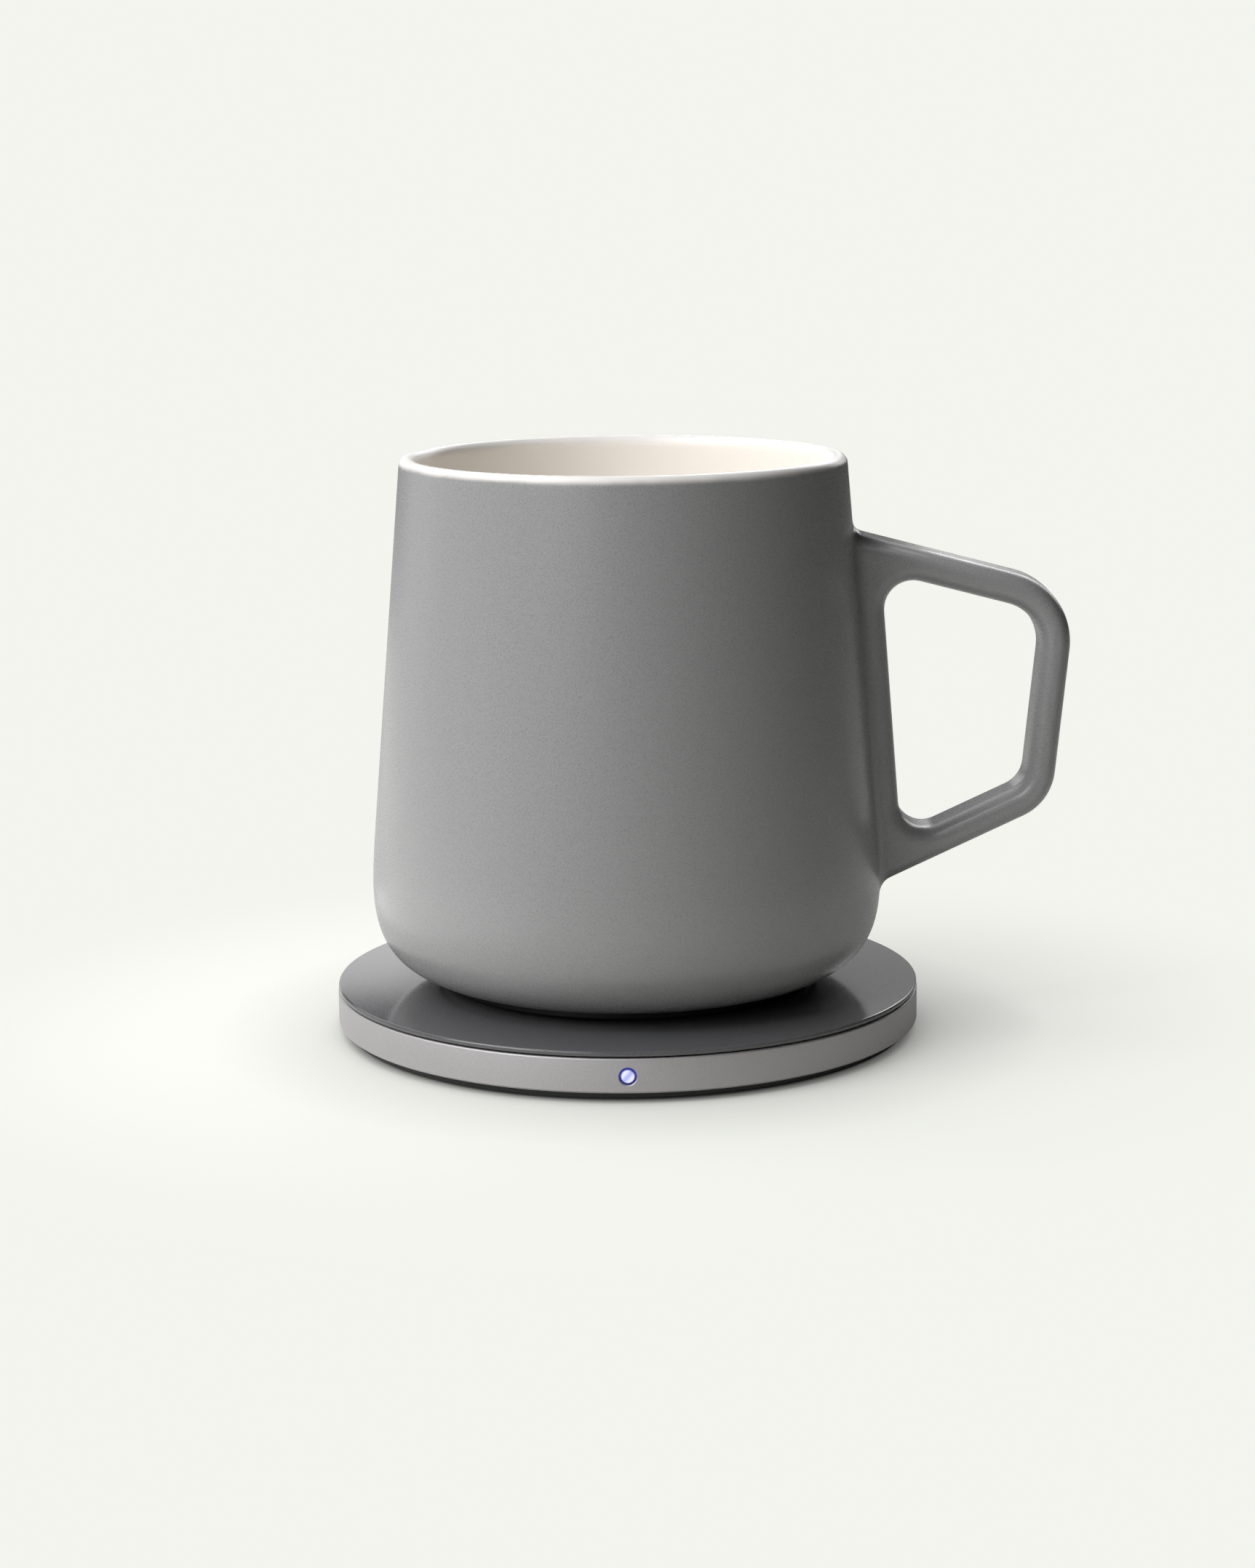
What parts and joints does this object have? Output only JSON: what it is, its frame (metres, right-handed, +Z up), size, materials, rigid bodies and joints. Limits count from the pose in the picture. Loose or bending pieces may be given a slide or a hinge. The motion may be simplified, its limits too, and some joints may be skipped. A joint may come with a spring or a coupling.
{
  "type": "self heating mug with charging coaster",
  "caption": "Porcelain mug with an angular handle and a heated base that is powered from the round charging coaster it stands on.",
  "frame": {"origin": "centre of the coaster's foot face, on the table and on the axis that mug and coaster share", "axes": "+Z up along that axis, +X towards the mug's handle, -Y towards the indicator, +Y towards the charging port"},
  "size_m": [0.1254, 0.1, 0.0987],
  "materials": {
    "porcelain": "satin grey glaze, cream inside",
    "plate": "dark grey, fine grain, half gloss",
    "anodised_ring": "bead blasted and anodised",
    "black_plastic": "fine matt",
    "silicone": "matt silicone",
    "adhesive": "soft foam",
    "board": "solder mask over glass fibre",
    "chip": "moulded black",
    "capacitor": "fired tan",
    "ferrite": "sintered, dull",
    "copper": "enamelled copper wire",
    "steel": "plated steel",
    "lens": "milky clear, lit from behind",
    "light": "small light-emitting part",
    "carrier": "moulded, natural",
    "heater_film": "amber film over foil",
    "thermal_pad": "soft grey silicone",
    "insulation": "felted white fibre",
    "seal": "red silicone"
  },
  "bodies": {
    "coaster": {"foot_pad": "silicone", "base_cover": "black_plastic", "base_screw_1": "steel", "base_screw_2": "steel", "base_screw_3": "steel", "base_screw_4": "steel", "housing_ring": "anodised_ring", "top_plate": "plate", "plate_adhesive": "adhesive", "main_board": "board", "charge_controller_chip": "chip", "coil_driver_chip": "chip", "port_controller_chip": "chip", "power_inductor": "ferrite", "resonance_capacitor_1": "capacitor", "resonance_capacitor_2": "capacitor", "input_capacitor": "capacitor", "coil_carrier": "carrier", "transmitter_ferrite": "ferrite", "transmitter_coil": "copper", "plate_sensor": "chip", "port_shell": "steel", "port_tongue": "black_plastic", "indicator_lens": "lens", "indicator_light": "light"},
    "mug": {"porcelain_body": "porcelain", "porcelain_handle": "porcelain", "mug_base_cover": "black_plastic", "mug_base_seal": "seal", "receiver_coil": "copper", "receiver_ferrite": "ferrite", "receiver_board": "board", "receiver_chip": "chip", "rectifier_bridge": "chip", "receiver_capacitor_1": "capacitor", "receiver_capacitor_2": "capacitor", "insulation_disc": "insulation", "heating_element": "heater_film", "thermal_pad": "thermal_pad", "mug_sensor": "chip", "thermal_fuse": "steel"}
  },
  "joints": [
    {"name": "mug_lift", "type": "slide", "parent": "coaster", "child": "mug", "axis": [0, 0, 1], "range_m": [0, 0.1]}
  ]
}
